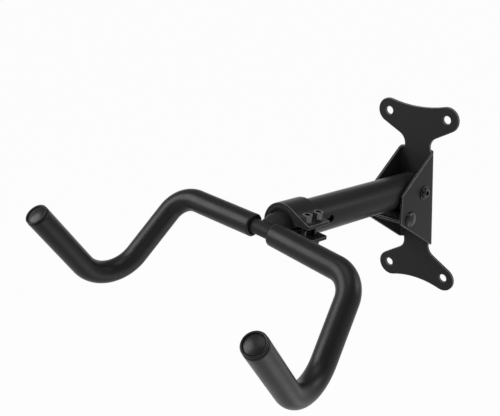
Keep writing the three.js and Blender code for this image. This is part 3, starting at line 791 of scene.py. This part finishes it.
def bolt(node, name, body, direction, head, radius, pitch, threaded):
    """A bolt: its CAD head, `head` high at the end that the direction gives, on a really threaded shank."""
    under_head = 0.05 * MM      # the cut lies this much inside the head
    overlap = 0.5 * MM          # and the shank reaches this much past the cut
    head_steps = 2
    bm = merged_copy(node)
    reach = [direction.dot(vertex.co) for vertex in bm.verts]
    cut = max(reach) - head + under_head
    tail = min(reach)
    middle = node_centre(node)
    plane = middle - direction * (direction.dot(middle) - cut)
    cut_across(bm, plane, direction, clear_inner=True)
    bmesh.ops.holes_fill(bm, edges=[edge for edge in bm.edges if edge.is_boundary])
    crown = new_piece(name + "_head", smooth_mesh(name + "_head", bm), "black_zinc")
    add_bevel(crown, sizes("rack_edges").small, head_steps)
    crown = baked(crown)
    blank = new_piece(name + "_shank", bpy.data.meshes.new(name + "_shank"), "black_zinc")
    shank = grown(blank, "thread", "black_zinc", Radius=radius, Pitch=pitch,
                  Length=cut - tail + overlap, Threaded=threaded)
    shank.data.polygons.foreach_set("use_smooth", [True] * len(shank.data.polygons))
    shank.data.set_sharp_from_angle(angle=THREAD_SHARP)
    shank.data.transform(Matrix.Translation(plane + direction * overlap) @ facing(-direction))
    return seated(joined(name, crown, shank), "black_zinc", body, node)


def lock_ring(name, nut, body, direction, outer, bore):
    """The nylon ring set in a lock nut's outer end."""
    edge = 0.1 * MM
    sunk = 0.12 * MM
    sides = 40
    half = 0.5 * sizes("rack_fasteners").ring_depth
    profile = [(bore, -half), (outer - edge, -half), (outer, -half + edge), (outer, half - edge),
               (outer - edge, half), (bore + edge, half), (bore, half - edge), (bore, -half)]
    mesh = turned_mesh(name, profile, sides)
    far = max(direction.dot(vertex.co) for vertex in NODES[nut].data.vertices)
    centre = node_centre(nut)
    seat = centre + direction * (far - direction.dot(centre) - half - sunk)
    mesh.transform(Matrix.Translation(seat) @ facing(direction))
    return seated(new_piece(name, mesh, "nylon"), "nylon", body)


def clamp_up():
    """The way the clamp's bolts point: from a washer's middle to its nut's."""
    return (node_centre("clamp_nut_front") - node_centre("clamp_washer_front")).normalized()


# ---- end plugs ----

def plug_profile():
    """Half section of an end plug: a barbed stem, a recessed flange, a raised rim and a domed middle."""
    stem, depth, lead_in = 6.2 * MM, 12 * MM, 1.2 * MM
    stem_end, stem_top = stem - 0.8 * MM, stem - 0.3 * MM
    barb, barbs = 0.4 * MM, (-8 * MM, -4 * MM)
    recess, flange_top, chamfer = 11.7 * MM, 0.45 * MM, 0.2 * MM
    rim, bead, rim_top = 12.25 * MM, 1.1 * MM, 2.3 * MM
    dome_top, groove_floor, groove_width, dome_step = 2.65 * MM, 0.8 * MM, 0.3 * MM, 0.1 * MM
    rim_steps, dome_steps = 18, 14

    profile = [(0, -depth), (stem_end, -depth), (stem, lead_in - depth)]
    for notch in barbs:
        profile += [(stem - barb, notch), (stem, notch + barb)]
    profile += [(stem_top, 0), (recess - chamfer, 0), (recess, chamfer), (recess, flange_top)]
    profile += arc_points((rim - bead, rim_top - bead), bead, -40, 180, rim_steps)
    rim_inside = rim - 2 * bead
    dome_edge = rim_inside - groove_width
    profile += [(rim_inside, groove_floor), (dome_edge, groove_floor)]
    rise = dome_top - groove_floor - dome_step
    swell = (dome_edge ** 2 + rise ** 2) / (2 * rise)
    for i in range(dome_steps, 0, -1):
        radius = dome_edge * i / dome_steps
        profile.append((radius, dome_top - swell + math.sqrt(swell ** 2 - radius ** 2)))
    return profile + [(0, dome_top)]


# ---- stage ----

def floor_material():
    """Pale paper: white to the camera, in reflections and through glass, with a faint shadow on it."""
    paper_scale, paper_shade = 180, 0.99
    white_share = 0.97          # the rest is lit paper, which keeps the shadow
    shader = Shader("studio_floor")
    tone = tuple(sizes("rack_finishes").floor)
    paper = shader.shaded(shader.noise(paper_scale, 2.0), scaled(tone, paper_shade), tone)
    matte = shader.node("ShaderNodeBsdfDiffuse", Color=paper).outputs["BSDF"]
    white = shader.node("ShaderNodeEmission", Strength=1.0).outputs["Emission"]
    path = shader.node("ShaderNodeLightPath").outputs
    seen = shader.math("MAXIMUM", path["Is Camera Ray"], path["Is Glossy Ray"])
    seen = shader.math("MAXIMUM", seen, path["Is Transmission Ray"])
    mix = shader.node("ShaderNodeMixShader", Fac=shader.math("MULTIPLY", seen, white_share))
    shader.feed(mix.inputs[1], matte)
    shader.feed(mix.inputs[2], white)
    return shader.surface(mix.outputs["Shader"])


def add_floor(below):
    """A wide floor under the rack's lowest point."""
    stage = sizes("rack_stage")
    half = stage.floor_half
    mesh = bpy.data.meshes.new("floor")
    mesh.from_pydata([(-half, -half, 0), (half, -half, 0), (half, half, 0), (-half, half, 0)],
                     [], [(0, 1, 2, 3)])
    mesh.transform(Matrix.Translation((0, 0, below - stage.floor_drop)))
    mesh.materials.append(floor_material())
    floor = bpy.data.objects.new("floor", mesh)
    bpy.context.scene.collection.objects.link(floor)


def add_world():
    """White round the horizon, falling to the grey of the ceiling above it."""
    white_until, grey_from = 0.22, 0.38
    world = bpy.data.worlds.new("studio")
    world.use_nodes = True
    studio = Nodes(world.node_tree)
    studio.tree.nodes.clear()
    direction = studio.node("ShaderNodeTexCoord").outputs["Generated"]
    height = studio.node("ShaderNodeSeparateXYZ", Vector=direction).outputs["Z"]
    ramp = studio.node("ShaderNodeValToRGB", Fac=height)
    background = studio.node("ShaderNodeBackground", Color=ramp.outputs["Color"])
    studio.node("ShaderNodeOutputWorld", Surface=background.outputs["Background"])
    white, grey = ramp.color_ramp.elements
    white.position = white_until
    white.color = (1, 1, 1, 1)
    grey.position = grey_from
    grey.color = (*sizes("rack_finishes").ceiling, 1)
    bpy.context.scene.world = world


def softboxes():
    """Each softbox's name, its direction and distance from the rack, its width, height and power."""
    stage = sizes("rack_stage")
    return (
        ("key_softbox", Vector((-0.53, -0.60, 0.57)), 1.6, 1.0, 1.15, stage.key_watts),
        ("fill_softbox", Vector((0.68, 0.20, -0.70)), 1.3, 1.0, 1.0, stage.fill_watts),
        ("side_softbox", Vector((0.66, 0.64, 0.41)), 1.3, 0.6, 0.6, stage.side_watts),
        ("top_softbox", Vector((0.08, -0.08, 0.99)), 1.3, 0.8, 0.8, stage.top_watts),
    )


def add_softbox(name, target, direction, distance, width, height, watts):
    """A rectangular lamp that faces the target from the direction."""
    data = bpy.data.lights.new(name, "AREA")
    data.shape = "RECTANGLE"
    data.size, data.size_y = width, height
    data.energy = watts
    lamp = bpy.data.objects.new(name, data)
    bpy.context.scene.collection.objects.link(lamp)
    lamp.location = target + direction.normalized() * distance
    lamp.rotation_mode = "QUATERNION"
    lamp.rotation_quaternion = direction.to_track_quat("Z", "Y")
    lamp.visible_camera = False


def camera_matrix():
    stage = sizes("rack_stage")
    azimuth, elevation = stage.camera_azimuth, stage.camera_elevation
    back = Vector((math.sin(azimuth) * math.cos(elevation), -math.cos(azimuth) * math.cos(elevation),
                   math.sin(elevation)))
    right = Vector((math.cos(azimuth), math.sin(azimuth), 0))
    view = Matrix((right, back.cross(right), back)).transposed().to_4x4()
    return Matrix.Translation(stage.camera_place) @ view @ Matrix.Rotation(stage.camera_roll, 4, "Z")


def add_camera():
    stage = sizes("rack_stage")
    data = bpy.data.cameras.new("studio_camera")
    data.lens = stage.camera_lens
    data.sensor_width = stage.camera_film
    camera = bpy.data.objects.new("studio_camera", data)
    bpy.context.scene.collection.objects.link(camera)
    camera.matrix_world = camera_matrix()
    bpy.context.scene.camera = camera


# ---- operators ----

class RACK_OT_stage(bpy.types.Operator):
    """Camera, softboxes, studio world and pale floor"""
    bl_idname = "rack.stage"
    bl_label = "Stage"
    bl_options = {"REGISTER", "UNDO"}

    def execute(self, context):
        context.scene.view_settings.view_transform = "Standard"
        low, high = (Vector(corner) for corner in CAD_BOX)
        add_camera()
        add_world()
        for name, *setting in softboxes():
            add_softbox(name, (low + high) / 2, *setting)
        add_floor(below=low.z)
        return {"FINISHED"}


class RACK_OT_bracket(bpy.types.Operator):
    """Wall bracket sheet and the brace between its cheeks"""
    bl_idname = "rack.bracket"
    bl_label = "Wall bracket"
    bl_options = {"REGISTER", "UNDO"}

    def execute(self, context):
        edge = sizes("rack_edges").sheet
        # The bracket's and the brace's rounded edges carry the painted edge highlight.
        finished("wall_bracket", "bracket_sheet", "powder_coat", "bracket", edge, paints_edge_highlight=True)
        finished("bracket_brace", "brace_strip", "powder_coat", "bracket", edge, paints_edge_highlight=True)
        return {"FINISHED"}


class RACK_OT_arm(bpy.types.Operator):
    """Arm tube with its slit, the sleeve it turns on and the bush inside its open end"""
    bl_idname = "rack.arm"
    bl_label = "Arm tube"
    bl_options = {"REGISTER", "UNDO"}

    def execute(self, context):
        edges = sizes("rack_edges")
        pipe = finished("arm_tube", "arm_pipe", "powder_coat", "arm", edges.tube, slices=40)
        shade_round(pipe, outer_radius("arm_tube"))
        finished("pivot_sleeve", "pivot_hub", "black_zinc", "arm", edges.small)
        finished("swivel_bush", "bush_liner", "nylon", "arm", edges.small)
        return {"FINISHED"}


class RACK_OT_clamp(bpy.types.Operator):
    """Split clamp collar round the end of the arm"""
    bl_idname = "rack.clamp"
    bl_label = "Clamp collar"
    bl_options = {"REGISTER", "UNDO"}

    def execute(self, context):
        edge = sizes("rack_edges").collar
        # The collar's rounded edges carry the painted edge highlight.
        collar = finished("clamp_band", "clamp_collar", "powder_coat", "arm", edge, paints_edge_highlight=True,
                          outer_only=True)
        shade_round(collar, outer_radius("clamp_band"))
        return {"FINISHED"}


class RACK_OT_bracket_fasteners(bpy.types.Operator):
    """The bracket's two bolts and lock nuts, the pivot's washers and the rest bumper"""
    bl_idname = "rack.bracket_fasteners"
    bl_label = "Bracket fasteners"
    bl_options = {"REGISTER", "UNDO"}

    def execute(self, context):
        kit, edges = sizes("rack_fasteners"), sizes("rack_edges")
        shank = (kit.bracket_radius, kit.bracket_pitch, kit.bracket_thread)
        for where, head in (("pivot", kit.pivot_head), ("rest", kit.rest_head)):
            bolt(f"{where}_bolt", f"{where}_screw", "bracket", RIGHT, head, *shank)
        for where in ("pivot", "rest"):
            nut = f"{where}_nut"
            # The nut's paler zinc carries a painted highlight.
            finished(nut, f"{where}_lock_nut", "black_zinc", "bracket", edges.small, finish="nut_zinc_with_painted_highlight")
            lock_ring(f"{where}_lock_nut_ring", nut, "bracket", -RIGHT, kit.bracket_ring,
                      kit.bracket_bore)
        for where in SIDES:
            finished(f"pivot_washer_{where}", f"pivot_disc_{where}", "nylon", "bracket", edges.small)
        finished("rest_bumper", "rest_roller", "rubber", "bracket", edges.roller)
        return {"FINISHED"}


class RACK_OT_clamp_fasteners(bpy.types.Operator):
    """The clamp's two bolts, washers and lock nuts"""
    bl_idname = "rack.clamp_fasteners"
    bl_label = "Clamp fasteners"
    bl_options = {"REGISTER", "UNDO"}

    def execute(self, context):
        kit, edge = sizes("rack_fasteners"), sizes("rack_edges").small
        shank = (kit.clamp_radius, kit.clamp_pitch, kit.clamp_thread)
        up = clamp_up()
        for where in ("front", "rear"):
            bolt(f"clamp_bolt_{where}", f"clamp_screw_{where}", "arm", -up, kit.clamp_head, *shank)
            # The washers' and nuts' paler zinc carries a painted highlight.
            finished(f"clamp_washer_{where}", f"clamp_disc_{where}", "black_zinc", "arm", edge,
                     finish="nut_zinc_with_painted_highlight")
            finished(f"clamp_nut_{where}", f"clamp_lock_nut_{where}", "black_zinc", "arm", edge,
                     finish="nut_zinc_with_painted_highlight")
            lock_ring(f"clamp_lock_nut_{where}_ring", f"clamp_nut_{where}", "arm", up, kit.clamp_ring,
                      kit.clamp_bore)
        return {"FINISHED"}


class RACK_OT_hook_bar(bpy.types.Operator):
    """Bent bar, the stub it is welded to and the seam between them"""
    bl_idname = "rack.hook_bar"
    bl_label = "Hook bar"
    bl_options = {"REGISTER", "UNDO"}

    def execute(self, context):
        hook, edges = sizes("rack_hook"), sizes("rack_edges")
        rod = grown(line_curve("hook_rod", bar_line()), "sleeve", "matt_coat",
                    Outer_Radius=hook.bar_radius, Bore_Radius=hook.bar_radius - hook.bar_wall,
                    Edge=0.3 * MM, Step=1.8 * MM, Sides=44)
        seated(rod, "powder_coat", "hook", "hook_bar")
        finished("hook_stub", "stub_pipe", "powder_coat", "hook", edges.tube, finish="matt_coat")
        seam = grown(line_curve("stub_seam", stub_seam_line(), closed=True), "seam", "matt_coat",
                     Radius=edges.seam_radius, Ripple=edges.seam_ripple)
        seated(seam, "powder_coat", "hook")
        return {"FINISHED"}


class RACK_OT_grips(bpy.types.Operator):
    """Foam sleeves over both halves of the hook bar"""
    bl_idname = "rack.grips"
    bl_label = "Foam grips"
    bl_options = {"REGISTER", "UNDO"}

    def execute(self, context):
        hook = sizes("rack_hook")
        ends = {"left": (hook.foam_start_left, hook.foam_round_left),
                "right": (hook.foam_start_right, hook.foam_round_right)}
        for where, side in SIDES.items():
            start, edge = ends[where]
            grip = grown(line_curve(f"grip_{where}", foam_line(side, start)), "sleeve", "foam",
                         Outer_Radius=hook.foam_radius, Bore_Radius=hook.bar_radius + hook.foam_gap,
                         Edge=edge, Step=1.25 * MM, Sides=56)
            seated(grip, "foam", "hook", f"foam_{where}")
        return {"FINISHED"}


class RACK_OT_plugs(bpy.types.Operator):
    """Moulded plugs in the bar's two ends"""
    bl_idname = "rack.plugs"
    bl_label = "End plugs"
    bl_options = {"REGISTER", "UNDO"}

    def execute(self, context):
        pressed_in = 0.15 * MM
        seat = sizes("rack_hook").plug_length - pressed_in
        for where, side in SIDES.items():
            mesh = turned_mesh(f"plug_{where}", plug_profile(), sides=72)
            spot = Matrix.Translation(bar_end(side, seat))
            mesh.transform(hook_matrix() @ spot @ facing(tip_direction(side)))
            seated(new_piece(f"plug_{where}", mesh, "plastic"), "plastic", "hook", f"end_cap_{where}")
        return {"FINISHED"}


# ---- panel and registration ----

GROUPS = {"rack_hook": RackHookSizes, "rack_edges": RackEdgeSizes, "rack_fasteners": RackFastenerSizes,
          "rack_finishes": RackFinishes, "rack_stage": RackStageSizes}
STEPS = (RACK_OT_stage, RACK_OT_bracket, RACK_OT_arm, RACK_OT_clamp, RACK_OT_bracket_fasteners,
         RACK_OT_clamp_fasteners, RACK_OT_hook_bar, RACK_OT_grips, RACK_OT_plugs)


class RACK_PT_panel(bpy.types.Panel):
    """Lists the rack's operators and their sizes"""
    bl_idname = "RACK_PT_panel"
    bl_label = "Wall rack"
    bl_space_type = "VIEW_3D"
    bl_region_type = "UI"
    bl_category = "Wall rack"

    def draw(self, context):
        for step in STEPS:
            self.layout.operator(step.bl_idname)
        for name in GROUPS:
            group = getattr(context.scene, name)
            box = self.layout.box()
            for key in group.__annotations__:
                box.prop(group, key)


def register():
    for kind in (*GROUPS.values(), *STEPS, RACK_PT_panel):
        bpy.utils.register_class(kind)
    for name, kind in GROUPS.items():
        setattr(bpy.types.Scene, name, PointerProperty(type=kind))


def unregister():
    for name in GROUPS:
        delattr(bpy.types.Scene, name)
    for kind in (RACK_PT_panel, *reversed(STEPS), *reversed(GROUPS.values())):
        bpy.utils.unregister_class(kind)


def main():
    register()
    for step in STEPS:
        group, name = step.bl_idname.split(".")
        getattr(getattr(bpy.ops, group), name)()


if __name__ == "__main__":
    main()
